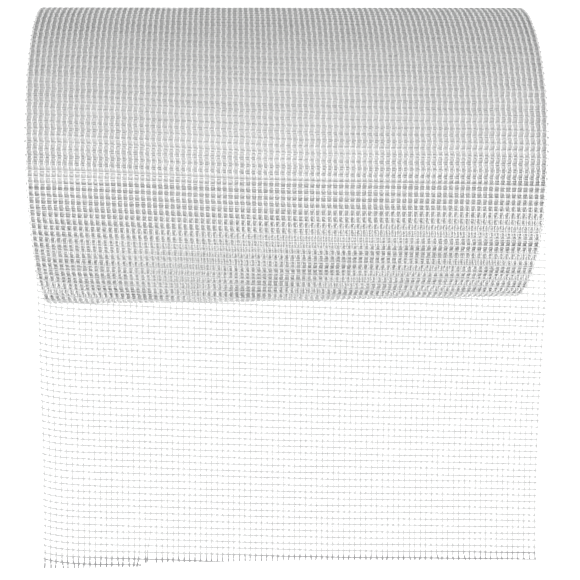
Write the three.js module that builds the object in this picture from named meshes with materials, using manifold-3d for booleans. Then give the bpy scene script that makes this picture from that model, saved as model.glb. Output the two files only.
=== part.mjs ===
// A roll of coated glass fibre mesh, lying on its side on a level floor.
// The mesh is one woven web. Most of it is wound into a roll with an open bore, and its free end
// comes off over the top of the roll and leans down to the floor in front, on its cut edge. A plain
// grid of openings in the free end stands for the fine openings between the yarns.
// Millimetres, +Z up, +X along the roll's axis, +Y towards the back.
// The origin is on the floor, at the middle of the space that the whole web takes up.

import * as THREE from 'three';
import { mergeVertices } from 'three/addons/utils/BufferGeometryUtils.js';
import Module from 'manifold-3d';

// The web and the roll that it is wound into
const webWidth = 330;
const webThickness = 0.6;
const rollDiameter = 203;
const boreDiameter = 56;

// The free end, from where it leaves the roll to its cut edge
const freeLength = 257;
const straightShare = 0.5; // of the free length, before it starts to flatten out
const footFlattening = 16.2; // degrees that the slope loses on the way to the floor
const freeEndStep = 9; // between the creases of the faceted curve

// The openings of the free end
const openingsAcross = 12;
const openingsAlong = 9;
const barWidth = 6;
const rootLength = 18; // closed, where the free end lies against the roll
const cutterReach = 3; // of the cutters, past both faces of the sheet

// The grooves that part the bands of turns on both ends of the roll
const grooveCount = 5;
const grooveWidth = 1.6;
const grooveDepth = 1.2;

const rollSides = 72;

const rollRadius = rollDiameter / 2;
const boreRadius = boreDiameter / 2;
const halfWidth = webWidth / 2;

// The corners of the roll's facets stand just outside its true radius, so that the middle of each
// facet lies on it, and so does the one that the roll rests on.
const cornerStretch = 1 / Math.cos(Math.PI / rollSides);

// How steeply the free end runs down, at a distance along it, when it leaves the roll at a slope.
function slopeAt(distance, leavingSlope) {
  const straightLength = straightShare * freeLength;
  const past = Math.max(0, distance - straightLength) / (freeLength - straightLength);
  return leavingSlope - THREE.MathUtils.degToRad(footFlattening) * past;
}

// The middle line of the free end, as points in (y, z) about the roll's axis over the floor.
function freeEndLine(leavingSlope) {
  const steps = Math.max(2, Math.round(freeLength / freeEndStep));
  const stride = freeLength / steps;
  const middleRadius = rollRadius - webThickness / 2;
  let y = -middleRadius * Math.sin(leavingSlope);
  let z = rollRadius + middleRadius * Math.cos(leavingSlope);
  const line = [{ y, z, slope: leavingSlope }];
  for (let step = 1; step <= steps; step++) {
    const slopeBetween = slopeAt((step - 0.5) * stride, leavingSlope);
    y -= stride * Math.cos(slopeBetween);
    z -= stride * Math.sin(slopeBetween);
    line.push({ y, z, slope: slopeAt(step * stride, leavingSlope) });
  }
  return line;
}

// The height of the cut edge's lower corner over the floor.
function edgeHeight(leavingSlope) {
  const edge = freeEndLine(leavingSlope).at(-1);
  return edge.z - (webThickness / 2) * Math.cos(edge.slope);
}

// The free end leaves the roll where its length just brings the cut edge down to the floor.
function findLeavingSlope() {
  let shallow = 0;
  let steep = Math.PI / 2;
  for (let round = 0; round < 60; round++) {
    const middle = (shallow + steep) / 2;
    if (edgeHeight(middle) > 0) shallow = middle;
    else steep = middle;
  }
  return steep;
}

const leavingSlope = findLeavingSlope();
const freeLine = freeEndLine(leavingSlope);

// A point on the upper (side 1) or under (side -1) surface of the free end.
function sheetPoint(point, side) {
  return new THREE.Vector2(
    point.y - side * (webThickness / 2) * Math.sin(point.slope),
    point.z + side * (webThickness / 2) * Math.cos(point.slope),
  );
}

// The roll's axis lies back from the origin by this much, because the free end takes up the front.
const frontY = sheetPoint(freeLine.at(-1), 1).x;
const axisY = (-frontY - rollRadius) / 2;

// The profile of the wound turns, as points of radius and place along the axis, with the bands of
// turns on both ends parted by V grooves.
function woundProfile() {
  const bandHeight = (rollRadius - boreRadius) / (grooveCount + 1);
  const end = [new THREE.Vector2(boreRadius, halfWidth)];
  for (let groove = 1; groove <= grooveCount; groove++) {
    const radius = boreRadius + groove * bandHeight;
    end.push(new THREE.Vector2(radius - grooveWidth / 2, halfWidth));
    end.push(new THREE.Vector2(radius, halfWidth - grooveDepth));
    end.push(new THREE.Vector2(radius + grooveWidth / 2, halfWidth));
  }
  end.push(new THREE.Vector2(rollRadius, halfWidth));
  const otherEnd = end.map((point) => new THREE.Vector2(point.x, -point.y)).reverse();
  return [...otherEnd, ...end, otherEnd[0]].reverse();
}

function woundTurns() {
  const profile = woundProfile().map((point) => new THREE.Vector2(point.x * cornerStretch, point.y));
  const geometry = new THREE.LatheGeometry(profile, rollSides);
  geometry.rotateY(Math.PI / rollSides);
  geometry.rotateZ(-Math.PI / 2);
  geometry.translate(0, 0, rollRadius);
  return geometry;
}

// The free end as a sheet of even thickness. Its outline in the (y, z) plane is drawn out along X.
function freeEnd() {
  const upperSide = freeLine.map((point) => sheetPoint(point, 1));
  const underSide = freeLine.map((point) => sheetPoint(point, -1)).reverse();
  const outline = new THREE.Shape([...upperSide, ...underSide]);
  const geometry = new THREE.ExtrudeGeometry(outline, { depth: webWidth, bevelEnabled: false });
  // ExtrudeGeometry draws in (x, y) and pulls along z, so these turns bring it to (y, z) and x.
  geometry.rotateX(Math.PI / 2);
  geometry.rotateZ(Math.PI / 2);
  geometry.translate(-halfWidth, 0, 0);
  return geometry;
}

// The point of the free end's middle line at a distance along it.
function freeEndPoint(distance) {
  const position = (distance / freeLength) * (freeLine.length - 1);
  const before = Math.min(Math.floor(position), freeLine.length - 2);
  const share = position - before;
  return {
    y: THREE.MathUtils.lerp(freeLine[before].y, freeLine[before + 1].y, share),
    z: THREE.MathUtils.lerp(freeLine[before].z, freeLine[before + 1].z, share),
    slope: slopeAt(distance, leavingSlope),
  };
}

// A block for each opening, that stands through the sheet. Bars of one width are left between the
// openings, at both sides and along the cut edge.
function openingCutters() {
  const acrossPitch = (webWidth - barWidth) / openingsAcross;
  const alongPitch = (freeLength - rootLength) / openingsAlong;
  const width = acrossPitch - barWidth;
  const length = alongPitch - barWidth;
  const cutters = [];
  for (let row = 0; row < openingsAlong; row++) {
    const middle = freeEndPoint(rootLength + row * alongPitch + length / 2);
    for (let column = 0; column < openingsAcross; column++) {
      const cutter = new THREE.BoxGeometry(width, length, webThickness + 2 * cutterReach);
      cutter.rotateX(middle.slope);
      cutter.translate(-halfWidth + barWidth + width / 2 + column * acrossPitch, middle.y, middle.z);
      cutters.push(cutter);
    }
  }
  return cutters;
}

const wasm = await Module();
wasm.setup();

function toSolid(geometry) {
  const bare = geometry.clone();
  bare.deleteAttribute('normal');
  bare.deleteAttribute('uv');
  const merged = mergeVertices(bare, 1e-4);
  return new wasm.Manifold(new wasm.Mesh({
    numProp: 3,
    vertProperties: new Float32Array(merged.attributes.position.array),
    triVerts: new Uint32Array(merged.index.array),
  }));
}

function toGeometry(solid) {
  const mesh = solid.getMesh();
  const geometry = new THREE.BufferGeometry();
  geometry.setAttribute('position', new THREE.BufferAttribute(new Float32Array(mesh.vertProperties), 3));
  geometry.setIndex(new THREE.BufferAttribute(new Uint32Array(mesh.triVerts), 1));
  geometry.computeVertexNormals();
  return geometry;
}

let openFreeEnd = toSolid(freeEnd());
for (const cutter of openingCutters()) {
  openFreeEnd = openFreeEnd.subtract(toSolid(cutter));
}

const web = new THREE.Mesh(
  toGeometry(toSolid(woundTurns()).add(openFreeEnd)),
  new THREE.MeshStandardMaterial({ color: 0xe6e7e7, roughness: 0.45, metalness: 0 }),
);
web.name = 'mesh_web';

const roll = new THREE.Group();
roll.position.set(0, axisY, 0);
roll.add(web);

export default roll;
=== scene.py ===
import math

import bmesh
import bpy
import numpy as np
from mathutils import Matrix, Vector


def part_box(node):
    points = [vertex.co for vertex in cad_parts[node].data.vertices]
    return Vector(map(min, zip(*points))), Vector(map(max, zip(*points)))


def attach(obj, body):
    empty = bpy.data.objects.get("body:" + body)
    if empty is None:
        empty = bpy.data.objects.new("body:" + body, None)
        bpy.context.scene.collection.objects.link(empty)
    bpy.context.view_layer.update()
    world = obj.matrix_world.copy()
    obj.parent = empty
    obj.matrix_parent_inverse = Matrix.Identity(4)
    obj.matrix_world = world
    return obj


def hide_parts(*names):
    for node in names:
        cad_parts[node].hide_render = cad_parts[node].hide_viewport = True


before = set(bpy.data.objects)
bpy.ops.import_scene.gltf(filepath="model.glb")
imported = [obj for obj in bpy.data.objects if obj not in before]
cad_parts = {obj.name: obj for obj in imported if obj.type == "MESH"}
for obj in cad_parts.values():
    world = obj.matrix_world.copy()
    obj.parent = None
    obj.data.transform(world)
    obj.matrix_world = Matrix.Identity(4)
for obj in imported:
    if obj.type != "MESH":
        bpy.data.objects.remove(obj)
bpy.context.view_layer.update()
scene = bpy.context.scene

web = {
    "width": 0.330,
    "thickness": 0.0006,
    "freeLength": 0.257,  # from where it leaves the roll to the cut
    "straightShare": 0.5,  # of the free length, before it flattens out
    "footFlattening": math.radians(16.2),
    "turnPitch": 0.0006,
    "bore": 0.056,
    "warps": 90,
    "warpPitch": 0.0037,
    "weftPitch": 0.0044,
    "lastWeft": 0.2531,  # the last weft that runs all the way across, at mid width
}

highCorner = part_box("mesh_web")[1]
rollRadius = highCorner.z / 2
rollY = highCorner.y - rollRadius
outerRadius = rollRadius - web["thickness"] / 2  # the middle of the web, where it leaves the roll
spiral = web["turnPitch"] / (4 * math.pi)  # half of what the radius loses in a radian


# The path that the web takes

def freeEndPath(along, leaving):
    straight = web["straightShare"] * web["freeLength"]
    bend = web["footFlattening"] / (web["freeLength"] - straight)
    flatPart = np.minimum(along, straight)
    bentPart = np.clip(along - straight, 0, web["freeLength"] - straight)
    pastEdge = np.maximum(along - web["freeLength"], 0)
    slope = leaving - bend * bentPart
    y = rollY - outerRadius * math.sin(leaving) - flatPart * math.cos(leaving)
    z = rollRadius + outerRadius * math.cos(leaving) - flatPart * math.sin(leaving)
    y = y - (math.sin(leaving) - np.sin(slope)) / bend - pastEdge * np.cos(slope)
    z = z - (np.cos(slope) - math.cos(leaving)) / bend - pastEdge * np.sin(slope)
    return y, z, slope


def findLeavingSlope():
    shallow, steep = 0.0, math.pi / 2
    for attempt in range(50):
        middle = (shallow + steep) / 2
        y, z, slope = freeEndPath(np.array([web["freeLength"]]), middle)
        if z[0] > web["thickness"] / 2 * math.cos(slope[0]):
            shallow = middle
        else:
            steep = middle
    return steep


leavingSlope = findLeavingSlope()


def smoothRamp(value, start, end):
    share = np.clip((value - start) / (end - start), 0, 1)
    return share * share * (3 - 2 * share)


# The wound turns bulge where nothing presses on them: angles run from the top towards
# the front, in degrees
outOfRound = {
    "backBulge": 0.0013,
    "backAngles": (-130, -60, 30),  # from, most, to
    "frontBulge": 0.0017,
    "frontMoreOnLeft": 0.0012,
    "frontAngles": (60, 118, 168),
    "fadesInward": 4,  # power of the radius
}


def bulgeAt(angle, angles):
    start, most, end = [math.radians(part) for part in angles]
    return smoothRamp(angle, start, most) * (1 - smoothRamp(angle, most, end))


def settle(radius, angle, across):
    angle = np.mod(angle + math.pi, 2 * math.pi) - math.pi
    leftness = smoothRamp(-across, -web["width"] / 2, web["width"] / 4)
    front = outOfRound["frontBulge"] + outOfRound["frontMoreOnLeft"] * (2 * leftness - 1)
    bulge = outOfRound["backBulge"] * bulgeAt(angle, outOfRound["backAngles"])
    bulge = bulge + front * bulgeAt(angle, outOfRound["frontAngles"])
    return radius + bulge * (radius / rollRadius) ** outOfRound["fadesInward"]


def layOnPath(points):
    across, along, out = points.T
    turned = (outerRadius - np.sqrt(outerRadius ** 2 + 4 * spiral * np.minimum(along, 0))) / (2 * spiral)
    radius = outerRadius - 2 * spiral * turned
    y, z, slope = freeEndPath(np.maximum(along, 0), leavingSlope)
    z = np.maximum(z, web["thickness"] / 2)  # what passes the edge lies on the floor
    onRoll = along <= 0
    slope = np.where(onRoll, leavingSlope - turned, slope)
    radius = settle(radius, slope, across)
    y = np.where(onRoll, rollY - radius * np.sin(slope), y)
    z = np.where(onRoll, rollRadius + radius * np.cos(slope), z)
    return np.stack([across, y - out * np.sin(slope), z + out * np.cos(slope)], axis=1)


# How far the web is off true
drape = {
    "skew": 0.0060,  # the right ends of the wefts lie this much further along than their middles
    "foldSkew": 0.0023,  # more of it around this place on the free end
    "foldAt": 0.110,
    "foldWidth": 0.070,
    "bowOnRoll": 0.0009,
    "bowOnFreeEnd": 0.0005,
    "edgeCurl": 0.0030,  # of the wefts' left ends
    "edgeCurlWidth": 0.0100,
    "sideDrift": 0.0033,
    "driftFrom": 0.0,
    "driftTo": 0.085,
    "driftBack": 0.0081,
}


def pullOffTrue(points):
    across, along = points[:, 0], points[:, 1]
    side = across / (web["width"] / 2)
    fold = np.exp(-((along - drape["foldAt"]) / drape["foldWidth"]) ** 2)
    onFreeEnd = smoothRamp(along, drape["driftFrom"], drape["driftTo"])
    bow = drape["bowOnRoll"] + (drape["bowOnFreeEnd"] - drape["bowOnRoll"]) * onFreeEnd
    curl = drape["edgeCurl"] * onFreeEnd * np.exp(-(across + web["width"] / 2) / drape["edgeCurlWidth"])
    drift = drape["sideDrift"] * onFreeEnd - drape["driftBack"] * np.maximum(along - drape["driftTo"], 0)
    moved = points.copy()
    moved[:, 0] += drift
    moved[:, 1] += (drape["skew"] + drape["foldSkew"] * fold) * side + bow * np.cos(math.pi * side) - curl
    return moved


# Meshes to points and back

def meshPoints(mesh):
    points = np.empty(len(mesh.vertices) * 3, np.float32)
    mesh.vertices.foreach_get("co", points)
    return points.reshape(-1, 3).astype(float)


def setMeshPoints(mesh, points):
    mesh.vertices.foreach_set("co", points.astype(np.float32).ravel())
    mesh.update()


def keepFlatPlaces(mesh, points):
    corners = np.empty(len(mesh.loops), np.int32)
    mesh.loops.foreach_get("vertex_index", corners)
    flatMap = mesh.uv_layers.new(name="web")
    flatMap.data.foreach_set("uv", points[corners, :2].astype(np.float32).ravel())


# Yarns

near = {
    "joined": 0.00001,  # the ends of a yarn's repeated units
    "seam": 0.00002,  # where the wound turns close
    "cut": 0.000001,
}


def drawYarn(sides, width, thickness, direction, stations):
    # stations are (place, share of the width), and the section stands across the direction
    bm = bmesh.new()
    bmesh.ops.create_circle(bm, segments=sides, radius=0.5)
    bmesh.ops.scale(bm, vec=(width, thickness, 1), verts=bm.verts)
    bmesh.ops.rotate(bm, cent=(0, 0, 0), matrix=Matrix.Rotation(math.pi / 2, 3, "X"), verts=bm.verts)
    if direction == "across":
        bmesh.ops.rotate(bm, cent=(0, 0, 0), matrix=Matrix.Rotation(math.pi / 2, 3, "Z"), verts=bm.verts)
    place, spread = stations[0]
    edges = bm.edges[:]
    widen = Vector((1, spread, 1)) if direction == "across" else Vector((spread, 1, 1))
    bmesh.ops.scale(bm, vec=widen, verts=bm.verts)
    bmesh.ops.translate(bm, vec=place, verts=bm.verts)
    for nextPlace, nextSpread in stations[1:]:
        made = bmesh.ops.extrude_edge_only(bm, edges=edges)["geom"]
        ring = [part for part in made if isinstance(part, bmesh.types.BMVert)]
        edges = [part for part in made if isinstance(part, bmesh.types.BMEdge)]
        change = nextSpread / spread
        widen = Vector((1, change, 1)) if direction == "across" else Vector((change, 1, 1))
        bmesh.ops.scale(bm, vec=widen, space=Matrix.Translation(-place), verts=ring)
        bmesh.ops.translate(bm, vec=nextPlace - place, verts=ring)
        place, spread = nextPlace, nextSpread
    return bm


def repeatYarn(name, bm, arrays):
    # arrays are (offset, count, joined end to end)
    piece = bpy.data.objects.new(name, bpy.data.meshes.new(name))
    bm.to_mesh(piece.data)
    bm.free()
    scene.collection.objects.link(piece)
    for offset, count, joined in arrays:
        array = piece.modifiers.new("repeat", "ARRAY")
        array.use_relative_offset = False
        array.use_constant_offset = True
        array.constant_offset_displace = offset
        array.count = count
        array.use_merge_vertices = joined
        array.merge_threshold = near["joined"]
    unit = piece.data
    depsgraph = bpy.context.evaluated_depsgraph_get()
    piece.data = bpy.data.meshes.new_from_object(piece.evaluated_get(depsgraph))
    piece.modifiers.clear()
    bpy.data.meshes.remove(unit)
    piece.data.name = name
    return piece


def closeEnds(piece):
    bm = bmesh.new()
    bm.from_mesh(piece.data)
    bmesh.ops.holes_fill(bm, edges=[edge for edge in bm.edges if edge.is_boundary], sides=0)
    bmesh.ops.recalc_face_normals(bm, faces=bm.faces)
    bm.to_mesh(piece.data)
    bm.free()


def finishPiece(piece, material):
    piece.data.materials.append(material)
    piece.data.shade_smooth()
    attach(piece, "root")
    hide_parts("mesh_web")
    triangles = sum(len(face.vertices) - 2 for face in piece.data.polygons)
    print(piece.name, triangles, "triangles")


# The cut edge, a little later on the right and with a step near the left side
cut = {
    "at": 0.2565,
    "rightLater": 0.0024,
    "leftLater": 0.0030,
    "leftUntil": -0.60,  # share of the half width
    "frayFrom": 0.249,
}


def cutLine(across):
    side = across / (web["width"] / 2)
    later = cut["leftLater"] if side < cut["leftUntil"] else 0.0
    return cut["at"] + cut["rightLater"] * max(0.0, side) + later


def cutOff(piece):
    # The yarns are levelled on the cut line, cut in one go, and set back.
    bm = bmesh.new()
    bm.from_mesh(piece.data)
    for vert in bm.verts:
        vert.co.y -= cutLine(vert.co.x) - cut["at"]
    bmesh.ops.bisect_plane(bm, geom=bm.verts[:] + bm.edges[:] + bm.faces[:], dist=near["cut"],
                           plane_co=(0, cut["at"], 0), plane_no=(0, 1, 0), clear_outer=True)
    for vert in bm.verts:
        vert.co.y += cutLine(vert.co.x) - cut["at"]
    bm.to_mesh(piece.data)
    bm.free()


# Warps: two yarns each, one over the wefts and one under them, that change sides between wefts
warp = {
    "roll": {"width": 0.00090, "thickness": 0.00034, "sideStep": 0.00044},
    "freeEnd": {"width": 0.00046, "thickness": 0.00030, "sideStep": 0.00018},
    "rise": 0.00013,
    "crossFrom": 0.32,  # share of the way from one weft to the next
    "wander": 0.00010,
    "wanderLength": 0.045,
    "shortWave": 0.6,  # share of the wander
    "longWave": 0.83,  # half turns over the wander length
    "stubBend": 0.0005,
    "bendsBefore": 0.003,  # the cut
    "bendsPast": 0.002,
    "stubPinch": 1.3,  # share of the pair's width at the cut, where the filaments spread
    "cutRoughness": 0.0004,
}
pulledWarps = {19: (-0.0022, 0.232), 17: (-0.0016, 0.245)}  # number from the left: pull, from where
pullLength = 0.018  # over which a pulled warp leaves its place

warpDraw = np.random.default_rng(3)
warpPhase = warpDraw.uniform(0, 2 * math.pi, (web["warps"], 2))
stubLean = warpDraw.normal(0, 1, web["warps"])
stubLength = warpDraw.normal(0, 1, web["warps"])


def warpStations(size, over, cells):
    # each yarn runs straight past a weft, and changes sides halfway to the next one; the unit starts
    # just past a change of sides, so that the copies join end to end
    height = warp["rise"] if over else -warp["rise"]
    side = size["sideStep"] if over else -size["sideStep"]
    stations = [(Vector((side, -warp["crossFrom"] * web["weftPitch"], height)), 1.0)]
    for cell in range(cells):
        stations.append((Vector((side, (cell + warp["crossFrom"]) * web["weftPitch"], height)), 1.0))
        side = -side
        stations.append((Vector((side, (cell + 1 - warp["crossFrom"]) * web["weftPitch"], height)), 1.0))
    return stations


def warpNumber(across):
    number = np.rint(across / web["warpPitch"] + (web["warps"] - 1) / 2).astype(int)
    return np.clip(number, 0, web["warps"] - 1)


def wanderWarps(points):
    number = warpNumber(points[:, 0])
    along = points[:, 1]
    moved = points.copy()
    wave = np.sin(along * 2 * math.pi / warp["wanderLength"] + warpPhase[number, 0])
    longWave = np.sin(along * warp["longWave"] * math.pi / warp["wanderLength"] + warpPhase[number, 1])
    moved[:, 0] += warp["wander"] * (warp["shortWave"] * wave + longWave)
    return moved


# Wefts: flat bundles that lie between the two yarns of every warp
weft = {
    "widthOnRoll": 0.00110,
    "widthOnFreeEnd": 0.00105,
    "thickness": 0.00030,
    "pinch": 0.75,  # share of the width halfway between the warps
    "unevenness": 0.00012,
    "tips": (0.25, 0.75),  # least and most of what stands past the outer warps
    "wander": 0.00016,
    "wanderLength": 0.060,
    "shortWave": 0.5,  # share of the wander
    "longWave": 0.71,  # half turns over the wander length
}

weftDraw = np.random.default_rng(5)
weftNumbers = 480
numbersPastLast = 3  # for the wefts past the last full one
weftPhase = weftDraw.uniform(0, 2 * math.pi, (weftNumbers, 2))
weftOffset = weftDraw.normal(0, weft["unevenness"], weftNumbers)
tipLength = weftDraw.uniform(*weft["tips"], (weftNumbers, 2))


def weftNumber(along):
    number = np.rint((web["lastWeft"] - along) / web["weftPitch"]).astype(int)
    return np.clip(number + numbersPastLast, 0, weftNumbers - 1)


def wanderWefts(points):
    number = weftNumber(points[:, 1])
    across = points[:, 0]
    edge = (web["warps"] - 1) / 2 * web["warpPitch"] + warp["roll"]["sideStep"]
    moved = points.copy()
    wave = np.sin(across * 2 * math.pi / weft["wanderLength"] + weftPhase[number, 0])
    longWave = np.sin(across * weft["longWave"] * math.pi / weft["wanderLength"] + weftPhase[number, 1])
    moved[:, 1] += weft["wander"] * (weft["shortWave"] * wave + longWave) + weftOffset[number]
    past = np.maximum(np.abs(across) - edge, 0)
    tip = tipLength[number, (across > 0).astype(int)]
    moved[:, 0] = np.sign(across) * (np.minimum(np.abs(across), edge) + past * tip)
    return moved


def makeWefts(name, material, first, count, width, stepsPerCell, sides, cellsPerStep=1):
    pitch = web["warpPitch"] * cellsPerStep
    stations = []
    for step in range(stepsPerCell + 1):
        place = Vector((step * pitch / stepsPerCell, 0, 0))
        halfway = stepsPerCell > 1 and step in (0, stepsPerCell)
        stations.append((place, weft["pinch"] if halfway else 1.0))
    bm = drawYarn(sides, width, weft["thickness"], "across", stations)
    cells = web["warps"] // cellsPerStep
    bmesh.ops.translate(bm, vec=(-cells * pitch / 2, first, 0), verts=bm.verts)
    piece = repeatYarn(name, bm, [
        ((pitch, 0, 0), cells, True),
        ((0, -web["weftPitch"], 0), count, False),
    ])
    setMeshPoints(piece.data, pullOffTrue(wanderWefts(meshPoints(piece.data))))
    if first > web["lastWeft"]:
        cutOff(piece)
    closeEnds(piece)
    points = meshPoints(piece.data)
    keepFlatPlaces(piece.data, points)
    setMeshPoints(piece.data, layOnPath(points))
    finishPiece(piece, material)
    return piece


def makeWarpYarns(name, size, over, start, cells, sides):
    bm = drawYarn(sides, size["width"], size["thickness"], "along", warpStations(size, over, 2))
    bmesh.ops.translate(bm, vec=(-(web["warps"] - 1) / 2 * web["warpPitch"], start, 0), verts=bm.verts)
    piece = repeatYarn(name, bm, [
        ((0, 2 * web["weftPitch"], 0), cells // 2, True),
        ((web["warpPitch"], 0, 0), web["warps"], False),
    ])
    return piece


def cutWarps(piece):
    points = meshPoints(piece.data)
    number = warpNumber(points[:, 0])
    middle = (number - (web["warps"] - 1) / 2) * web["warpPitch"]
    pinch = 1 - (1 - warp["stubPinch"]) * smoothRamp(points[:, 1], cut["frayFrom"], cut["at"])
    points[:, 0] = middle + (points[:, 0] - middle) * pinch
    points = pullOffTrue(wanderWarps(points))
    nearCut = smoothRamp(points[:, 1], cut["frayFrom"], cut["at"])
    lean = smoothRamp(points[:, 1], cut["at"] - warp["bendsBefore"], cut["at"] + warp["bendsPast"])
    points[:, 0] += warp["stubBend"] * stubLean[number] * lean
    points[:, 1] += warp["cutRoughness"] * stubLength[number] * nearCut
    for pulled, (pull, start) in pulledWarps.items():
        ramp = smoothRamp(points[:, 1], start, start + pullLength)
        points[:, 0] += np.where(number == pulled, pull * ramp, 0)
    setMeshPoints(piece.data, points)
    cutOff(piece)


# Shader node groups

def newGroup(name, inputs, outputs):
    group = bpy.data.node_groups.new(name, "ShaderNodeTree")
    for socketName, kind, value in inputs:
        socket = group.interface.new_socket(socketName, in_out="INPUT", socket_type=kind)
        if value is not None:
            socket.default_value = value
    for socketName, kind in outputs:
        group.interface.new_socket(socketName, in_out="OUTPUT", socket_type=kind)
    start = group.nodes.new("NodeGroupInput")
    end = group.nodes.new("NodeGroupOutput")
    return group, start, end


streaksLook = {
    "fineScale": 1.6,
    "fineDetail": 2,
    "fineRange": (0.3, 0.7),
    "dabScale": 260,
    "dabDetail": 3,
}


def fibreStreaksGroup():
    # filaments that run along the yarn, and dabs where the coating is thick
    group, start, end = newGroup(
        "fibreStreaks",
        [("Vector", "NodeSocketVector", None), ("Stretch", "NodeSocketVector", (1000, 100, 1))],
        [("Streaks", "NodeSocketFloat"), ("Dabs", "NodeSocketFloat")],
    )
    stretch = group.nodes.new("ShaderNodeVectorMath")
    stretch.operation = "MULTIPLY"
    group.links.new(start.outputs["Vector"], stretch.inputs[0])
    group.links.new(start.outputs["Stretch"], stretch.inputs[1])
    fine = group.nodes.new("ShaderNodeTexNoise")
    fine.inputs["Scale"].default_value = streaksLook["fineScale"]
    fine.inputs["Detail"].default_value = streaksLook["fineDetail"]
    group.links.new(stretch.outputs[0], fine.inputs["Vector"])
    coarse = group.nodes.new("ShaderNodeTexNoise")
    coarse.inputs["Scale"].default_value = streaksLook["dabScale"]
    coarse.inputs["Detail"].default_value = streaksLook["dabDetail"]
    group.links.new(start.outputs["Vector"], coarse.inputs["Vector"])
    spread = group.nodes.new("ShaderNodeMapRange")
    spread.inputs["From Min"].default_value = streaksLook["fineRange"][0]
    spread.inputs["From Max"].default_value = streaksLook["fineRange"][1]
    group.links.new(fine.outputs["Fac"], spread.inputs["Value"])
    group.links.new(spread.outputs["Result"], end.inputs["Streaks"])
    group.links.new(coarse.outputs["Fac"], end.inputs["Dabs"])
    return group


handlingLook = {
    "scale": 28,
    "detail": 4,
    "range": (0.35, 0.75),
    "amount": 0.20,
    "shade": 0.82,  # of the worn colour, as a share of the yarn's dark one
}


def handlingGroup():
    # soft grey patches where the web was handled and pressed, over the whole roll
    group, start, end = newGroup(
        "handling",
        [("Vector", "NodeSocketVector", None), ("Color", "NodeSocketColor", (0.9, 0.9, 0.9, 1)),
         ("Worn Color", "NodeSocketColor", (0.7, 0.7, 0.7, 1)), ("Amount", "NodeSocketFloat", 0.3)],
        [("Color", "NodeSocketColor")],
    )
    patches = group.nodes.new("ShaderNodeTexNoise")
    patches.inputs["Scale"].default_value = handlingLook["scale"]
    patches.inputs["Detail"].default_value = handlingLook["detail"]
    group.links.new(start.outputs["Vector"], patches.inputs["Vector"])
    spread = group.nodes.new("ShaderNodeMapRange")
    spread.inputs["From Min"].default_value = handlingLook["range"][0]
    spread.inputs["From Max"].default_value = handlingLook["range"][1]
    group.links.new(patches.outputs["Fac"], spread.inputs["Value"])
    amount = group.nodes.new("ShaderNodeMath")
    amount.operation = "MULTIPLY"
    group.links.new(spread.outputs["Result"], amount.inputs[0])
    group.links.new(start.outputs["Amount"], amount.inputs[1])
    mix = group.nodes.new("ShaderNodeMix")
    mix.data_type = "RGBA"
    group.links.new(amount.outputs[0], mix.inputs["Factor"])
    group.links.new(start.outputs["Color"], mix.inputs["A"])
    group.links.new(start.outputs["Worn Color"], mix.inputs["B"])
    group.links.new(mix.outputs["Result"], end.inputs["Color"])
    return group


fibreStreaks = fibreStreaksGroup()
handling = handlingGroup()


# Materials
coating = {
    "specular": 0.3,
    "weight": 0.08,
    "roughness": 0.3,
    "bumpDistance": 0.00005,
}
# The base colours are painted light and shade, not the web's one white: the wefts are painted darker than
# the warps, for the shade they sit in; the free end's yarns darker than the roll's, for yarn seen against
# the bright floor; the roll's warps and the inner turns' bands lighter than the web, to lift the shade among
# the turns; the wound turns darker, for the shade deep between the turns. The light and dark of each look
# are random streaks.
yarnLooks = {
    "freeWarp": {"light": (0.58, 0.58, 0.575), "dark": (0.48, 0.48, 0.475), "stretch": (2600, 120, 1),
                 "roughness": (0.34, 0.52), "bump": 0.25, "fraysAndPaintedLight": True},
    "freeWeft": {"light": (0.50, 0.505, 0.505), "dark": (0.40, 0.405, 0.41), "stretch": (120, 2600, 1),
                 "roughness": (0.38, 0.58), "bump": 0.3, "fraysAndPaintedLight": True},
    "rollWarp": {"light": (0.92, 0.92, 0.915), "dark": (0.84, 0.84, 0.835), "stretch": (2600, 120, 1),
                 "roughness": (0.34, 0.52), "bump": 0.25, "fraysAndPaintedLight": False},
    "rollWeft": {"light": (0.50, 0.505, 0.505), "dark": (0.38, 0.385, 0.39), "stretch": (120, 2600, 1),
                 "roughness": (0.38, 0.58), "bump": 0.3, "fraysAndPaintedLight": False},
    "innerWeft": {"light": (0.74, 0.74, 0.74), "dark": (0.62, 0.62, 0.62), "stretch": (120, 2600, 1),
                  "roughness": (0.38, 0.58), "bump": 0.3, "fraysAndPaintedLight": False},
    "innerTurns": {"light": (0.94, 0.94, 0.94), "dark": (0.84, 0.84, 0.84), "stretch": (1200, 300, 1),
                   "roughness": (0.45, 0.60), "bump": 0.3, "fraysAndPaintedLight": False},
    "woundTurns": {"light": (0.74, 0.74, 0.74), "dark": (0.52, 0.52, 0.525), "stretch": (1, 1, 1),
                   "roughness": (0.45, 0.60), "bump": 0.3, "fraysAndPaintedLight": False},
}
fray = {
    "from": 0.2508,  # along the web
    "to": 0.2535,
    "color": (0.28, 0.28, 0.285),
}
paintedLightStretch = {
    "from": 0.020,  # along the web: painted light, the free end is painted whiter where it has just left the roll and hangs in front of it
    "to": 0.085,
    "color": {"freeWarp": (0.80, 0.80, 0.795), "freeWeft": (0.60, 0.60, 0.60)},
}
# painted shade: a plain grey for the spiral solid between its ends, for the shade deep between the yarns
depthShade = {
    "from": 0.153,  # across the web, where the sides of the roll let the light in
    "to": 0.163,
    "color": (0.70, 0.70, 0.70),
}


def addNode(tree, kind, x, y):
    node = tree.nodes.new(kind)
    node.location = (x, y)
    return node


def placeOnWeb(tree, flat, axis):
    split = addNode(tree, "ShaderNodeSeparateXYZ", -850, 350)
    tree.links.new(flat.outputs["UV"], split.inputs["Vector"])
    return split.outputs[axis]


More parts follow.
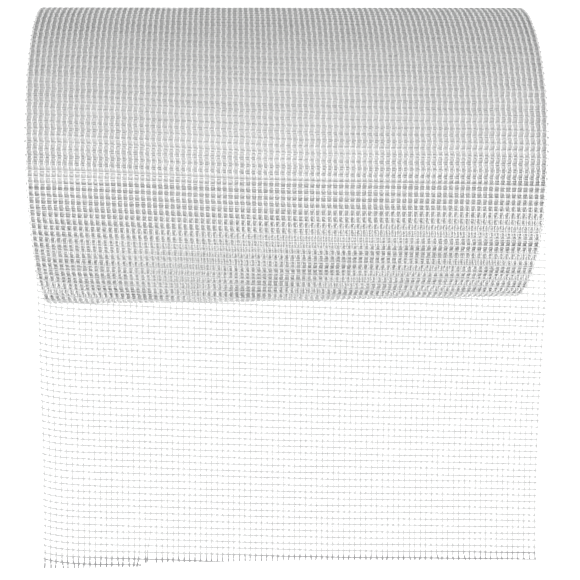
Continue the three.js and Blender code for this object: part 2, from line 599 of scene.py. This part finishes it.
def blendOver(tree, place, span, before, past, x, y):
    # one colour before a stretch of the web and another past it, each plain or from a node
    share = addNode(tree, "ShaderNodeMapRange", x, y)
    share.inputs["From Min"].default_value = span["from"]
    share.inputs["From Max"].default_value = span["to"]
    tree.links.new(place, share.inputs["Value"])
    blend = addNode(tree, "ShaderNodeMix", x + 250, y)
    blend.data_type = "RGBA"
    tree.links.new(share.outputs["Result"], blend.inputs["Factor"])
    for socket, color in ((blend.inputs["A"], before), (blend.inputs["B"], past)):
        if isinstance(color, tuple):
            socket.default_value = (*color, 1)
        else:
            tree.links.new(color, socket)
    return blend.outputs["Result"]


def yarnMaterial(name):
    look = yarnLooks[name]
    material = bpy.data.materials.new(name)
    material.use_nodes = True
    tree = material.node_tree
    shader = tree.nodes["Principled BSDF"]
    shader.inputs["Specular IOR Level"].default_value = coating["specular"]
    shader.inputs["Coat Weight"].default_value = coating["weight"]
    shader.inputs["Coat Roughness"].default_value = coating["roughness"]
    flat = addNode(tree, "ShaderNodeUVMap", -1100, 0)
    flat.uv_map = "web"
    place = addNode(tree, "ShaderNodeTexCoord", -1100, -250)
    streaks = addNode(tree, "ShaderNodeGroup", -850, 0)
    streaks.node_tree = fibreStreaks
    streaks.inputs["Stretch"].default_value = look["stretch"]
    tree.links.new(flat.outputs["UV"], streaks.inputs["Vector"])
    tone = addNode(tree, "ShaderNodeMix", -600, 100)
    tone.data_type = "RGBA"
    tone.inputs["A"].default_value = (*look["dark"], 1)
    tone.inputs["B"].default_value = (*look["light"], 1)
    tree.links.new(streaks.outputs["Streaks"], tone.inputs["Factor"])
    worn = addNode(tree, "ShaderNodeGroup", -350, 100)
    worn.node_tree = handling
    worn.inputs["Worn Color"].default_value = (*[handlingLook["shade"] * part for part in look["dark"]], 1)
    worn.inputs["Amount"].default_value = handlingLook["amount"]
    tree.links.new(place.outputs["Object"], worn.inputs["Vector"])
    tree.links.new(tone.outputs["Result"], worn.inputs["Color"])
    color = worn.outputs["Color"]
    if look["fraysAndPaintedLight"]:
        along = placeOnWeb(tree, flat, "Y")
        # painted light: paler yarns on the free end's stretch in front of the roll
        color = blendOver(tree, along, paintedLightStretch, paintedLightStretch["color"][name], color, -600, 600)
        # bare and dirty glass where the coating cracked off at the cut
        color = blendOver(tree, along, fray, color, fray["color"], -300, 350)
    elif name == "woundTurns":
        # between its ends the solid stands for the shade deep between the yarns
        side = addNode(tree, "ShaderNodeMath", -700, 350)
        side.operation = "ABSOLUTE"
        tree.links.new(placeOnWeb(tree, flat, "X"), side.inputs[0])
        color = blendOver(tree, side.outputs[0], depthShade, depthShade["color"], color, -500, 350)
    tree.links.new(color, shader.inputs["Base Color"])
    gloss = addNode(tree, "ShaderNodeMapRange", -350, -150)
    gloss.inputs["To Min"].default_value = look["roughness"][0]
    gloss.inputs["To Max"].default_value = look["roughness"][1]
    tree.links.new(streaks.outputs["Dabs"], gloss.inputs["Value"])
    tree.links.new(gloss.outputs["Result"], shader.inputs["Roughness"])
    bump = addNode(tree, "ShaderNodeBump", -350, -400)
    bump.inputs["Strength"].default_value = look["bump"]
    bump.inputs["Distance"].default_value = coating["bumpDistance"]
    tree.links.new(streaks.outputs["Streaks"], bump.inputs["Height"])
    tree.links.new(bump.outputs["Normal"], shader.inputs["Normal"])
    return material


freeWarp = yarnMaterial("freeWarp")
freeWeft = yarnMaterial("freeWeft")
rollWarp = yarnMaterial("rollWarp")
rollWeft = yarnMaterial("rollWeft")
innerWeft = yarnMaterial("innerWeft")
innerTurns = yarnMaterial("innerTurns")
woundLook = yarnMaterial("woundTurns")
print("materials made")


# The free end
freeEnd = {
    "cells": 58,  # from where the yarns of the turns take over to the last full weft
    "weftsPast": 2,  # the last full weft, cut off where they pass the cut
    "cellsPast": 4,  # for the warps, which are cut to length
}
firstOnFreeEnd = web["lastWeft"] - freeEnd["cells"] * web["weftPitch"]

freeEndWefts = makeWefts("free_end_wefts", freeWeft,
                         web["lastWeft"] + freeEnd["weftsPast"] * web["weftPitch"],
                         freeEnd["cells"] + freeEnd["weftsPast"] + 1, weft["widthOnFreeEnd"], 2, 4)
for name, over in (("free_end_over_yarns", True), ("free_end_under_yarns", False)):
    piece = makeWarpYarns(name, warp["freeEnd"], over, firstOnFreeEnd,
                          freeEnd["cells"] + freeEnd["cellsPast"], 4)
    cutWarps(piece)
    closeEnds(piece)
    points = meshPoints(piece.data)
    keepFlatPlaces(piece.data, points)
    setMeshPoints(piece.data, layOnPath(points))
    finishPiece(piece, freeWarp)

# The outer turn
turnCells = 146  # just over a turn, and even
turnStart = firstOnFreeEnd - turnCells * web["weftPitch"]
makeWefts("outer_turn_wefts", rollWeft, firstOnFreeEnd - web["weftPitch"], turnCells,
          weft["widthOnRoll"], 1, 3)
for name, over in (("outer_turn_over_yarns", True), ("outer_turn_under_yarns", False)):
    piece = makeWarpYarns(name, warp["roll"], over, turnStart, turnCells, 3)
    closeEnds(piece)
    points = pullOffTrue(wanderWarps(meshPoints(piece.data)))
    keepFlatPlaces(piece.data, points)
    setMeshPoints(piece.data, layOnPath(points))
    finishPiece(piece, rollWarp)

# The two turns under it, with each warp's pair as one flat band
inner = {
    "bandWidth": 0.00130,
    "bandThickness": 0.00050,
    "sideStep": 0.00015,
    "cells": 144,  # about a turn, and a multiple of six
    "warpsPerStep": 3,  # for the wefts, which have fewer stations than on the outer turn
}


def makeInnerTurn(name, start, cells, cellsPerStep):
    stations = []
    for step in range(3):
        side = inner["sideStep"] * math.cos(math.pi * step)
        stations.append((Vector((side, step * cellsPerStep * web["weftPitch"], 0)), 1.0))
    bm = drawYarn(3, inner["bandWidth"], inner["bandThickness"], "along", stations)
    bmesh.ops.translate(bm, vec=(-(web["warps"] - 1) / 2 * web["warpPitch"], start, 0), verts=bm.verts)
    stride = 2 * cellsPerStep * web["weftPitch"]
    piece = repeatYarn(name, bm, [
        ((0, stride, 0), cells // (2 * cellsPerStep), True),
        ((web["warpPitch"], 0, 0), web["warps"], False),
    ])
    closeEnds(piece)
    points = pullOffTrue(wanderWarps(meshPoints(piece.data)))
    keepFlatPlaces(piece.data, points)
    setMeshPoints(piece.data, layOnPath(points))
    finishPiece(piece, innerTurns)


turnEnd = turnStart
for turnName, cellsPerStep in (("second_turn", 1), ("third_turn", 3)):
    start = turnEnd - inner["cells"] * web["weftPitch"]
    makeInnerTurn(turnName + "_warps", start, inner["cells"], cellsPerStep)
    makeWefts(turnName + "_wefts", innerWeft, turnEnd - web["weftPitch"], inner["cells"],
              weft["widthOnRoll"], 1, 3, inner["warpsPerStep"])
    turnEnd = start

# The rest of the wound turns, as one spiral solid with the edge of every turn on its ends
wound = {
    "outerTurns": 3,  # made above
    "sides": 72,
    "edgeDepth": 0.00035,
    "bandCount": 6,
    "bandGroove": 0.0009,
    "waves": ((23, 0.00035), (9.1, 0.00022), (4.3, 0.00016), (2.3, 0.00010)),  # turns, height
}


def turnEdge(radius):
    turns = (rollRadius - radius) / web["turnPitch"]
    offset = sum(height * np.sin(2 * math.pi * turns / length + length) for length, height in wound["waves"])
    bandHeight = (rollRadius - web["bore"] / 2) / wound["bandCount"]
    for groove in range(1, wound["bandCount"]):
        fromGroove = (radius - web["bore"] / 2 - groove * bandHeight) / web["turnPitch"]
        offset = offset - wound["bandGroove"] * np.exp(-fromGroove ** 2)
    return offset


def makeWoundTurns():
    pitch = web["turnPitch"]
    outside = rollRadius - wound["outerTurns"] * pitch
    turns = int((outside - web["bore"] / 2) / pitch)
    half = web["width"] / 2
    rightEnd = []
    for turn in range(turns):
        rightEnd.append(Vector((half - wound["edgeDepth"], 0, outside - turn * pitch)))
        rightEnd.append(Vector((half, 0, outside - (turn + 0.5) * pitch)))
    rightEnd.append(Vector((half - wound["edgeDepth"], 0, outside - turns * pitch)))
    leftEnd = [Vector((-corner.x, 0, corner.z)) for corner in reversed(rightEnd)]
    bm = bmesh.new()
    first = bm.verts.new(rightEnd[0])
    last = first
    for corner in [*rightEnd[1:], *leftEnd]:
        last = bmesh.ops.extrude_vert_indiv(bm, verts=[last])["verts"][0]
        last.co = corner
    bm.edges.new((last, first))
    edges = bm.edges[:]
    for side in range(wound["sides"]):
        made = bmesh.ops.extrude_edge_only(bm, edges=edges)["geom"]
        ring = [part for part in made if isinstance(part, bmesh.types.BMVert)]
        edges = [part for part in made if isinstance(part, bmesh.types.BMEdge)]
        bmesh.ops.translate(bm, vec=(0, 2 * math.pi / wound["sides"], 0), verts=ring)
    piece = bpy.data.objects.new("wound_turns", bpy.data.meshes.new("wound_turns"))
    bm.to_mesh(piece.data)
    scene.collection.objects.link(piece)
    points = meshPoints(piece.data)
    across, turned = points[:, 0], points[:, 1]
    radius = points[:, 2] - pitch * turned / (2 * math.pi)
    across = across + np.sign(across) * turnEdge(radius)
    angle = leavingSlope - turned
    radius = settle(radius, angle, across)
    flat = np.stack([across, turned * radius, radius], axis=1)
    keepFlatPlaces(piece.data, flat)
    laid = np.stack([across, rollY - radius * np.sin(angle), rollRadius + radius * np.cos(angle)], axis=1)
    setMeshPoints(piece.data, laid)
    bm.free()
    bm = bmesh.new()
    bm.from_mesh(piece.data)
    bmesh.ops.remove_doubles(bm, verts=bm.verts, dist=near["seam"])
    bmesh.ops.holes_fill(bm, edges=[edge for edge in bm.edges if edge.is_boundary], sides=0)
    bmesh.ops.recalc_face_normals(bm, faces=bm.faces)
    bm.to_mesh(piece.data)
    bm.free()
    finishPiece(piece, woundLook)


makeWoundTurns()

# The floor, the light and the camera
floorLooks = {
    "size": 120.0,
    "color": (0.95, 0.95, 0.95),
    "roughness": 0.9,
    "glow": 0.6,
}


def makeFloor():
    bm = bmesh.new()
    bmesh.ops.create_grid(bm, x_segments=1, y_segments=1, size=floorLooks["size"] / 2)
    floor = bpy.data.objects.new("floor", bpy.data.meshes.new("floor"))
    bm.to_mesh(floor.data)
    bm.free()
    material = bpy.data.materials.new("paleFloor")
    material.use_nodes = True
    shader = material.node_tree.nodes["Principled BSDF"]
    shader.inputs["Base Color"].default_value = (*floorLooks["color"], 1)
    shader.inputs["Roughness"].default_value = floorLooks["roughness"]
    shader.inputs["Emission Color"].default_value = (1, 1, 1, 1)
    shader.inputs["Emission Strength"].default_value = floorLooks["glow"]
    floor.data.materials.append(material)
    scene.collection.objects.link(floor)


light = {
    "world": 0.95,
    "keyPower": 8.0,
    "keySize": 0.5,
    "keyPlace": (-0.15, -1.0, 1.5),
    "fillPower": 10.0,
    "fillSize": 1.0,
    "fillPlace": (0.0, -1.5, 0.45),
}


def addLight(name, power, size, place):
    lamp = bpy.data.objects.new(name, bpy.data.lights.new(name, "AREA"))
    lamp.data.shape = "DISK"
    lamp.data.size = size
    lamp.data.energy = power
    lamp.location = place
    aim = Vector((0, 0, rollRadius)) - lamp.location
    lamp.rotation_mode = "QUATERNION"
    lamp.rotation_quaternion = aim.to_track_quat("-Z", "Y")
    scene.collection.objects.link(lamp)


def makeLight():
    world = bpy.data.worlds.new("studio")
    world.use_nodes = True
    world.node_tree.nodes["Background"].inputs["Color"].default_value = (1, 1, 1, 1)
    world.node_tree.nodes["Background"].inputs["Strength"].default_value = light["world"]
    scene.world = world
    addLight("key", light["keyPower"], light["keySize"], light["keyPlace"])
    addLight("fill", light["fillPower"], light["fillSize"], light["fillPlace"])


view = {
    "lens": 82.32,
    "sensor": 36.0,
    "rollFromCamera": (-0.0050, -0.0953, 0.9385),  # the roll's middle: right, down and ahead
    "down": math.radians(59.47),  # how steeply the camera looks down
    "yaw": math.radians(-2.397),
    "tilt": math.radians(-0.467),
}


def makeCamera():
    cameraData = bpy.data.cameras.new("camera")
    cameraData.sensor_width = view["sensor"]
    cameraData.lens = view["lens"]
    camera = bpy.data.objects.new("camera", cameraData)
    level = Matrix((
        (1, 0, 0),
        (0, -math.sin(view["down"]), -math.cos(view["down"])),
        (0, math.cos(view["down"]), -math.sin(view["down"])),
    ))
    turn = Matrix.Rotation(view["tilt"], 3, "Z") @ Matrix.Rotation(view["yaw"], 3, "Y")
    right, down, ahead = turn @ level
    toRight, toDown, toAhead = view["rollFromCamera"]
    place = Vector((0, rollY, rollRadius)) - right * toRight - down * toDown - ahead * toAhead
    facing = Matrix((right, -down, -ahead)).transposed().to_4x4()
    camera.matrix_world = Matrix.Translation(place) @ facing
    scene.collection.objects.link(camera)
    scene.camera = camera


makeFloor()
makeLight()
makeCamera()
scene.view_settings.view_transform = "Standard"
print("stage set")
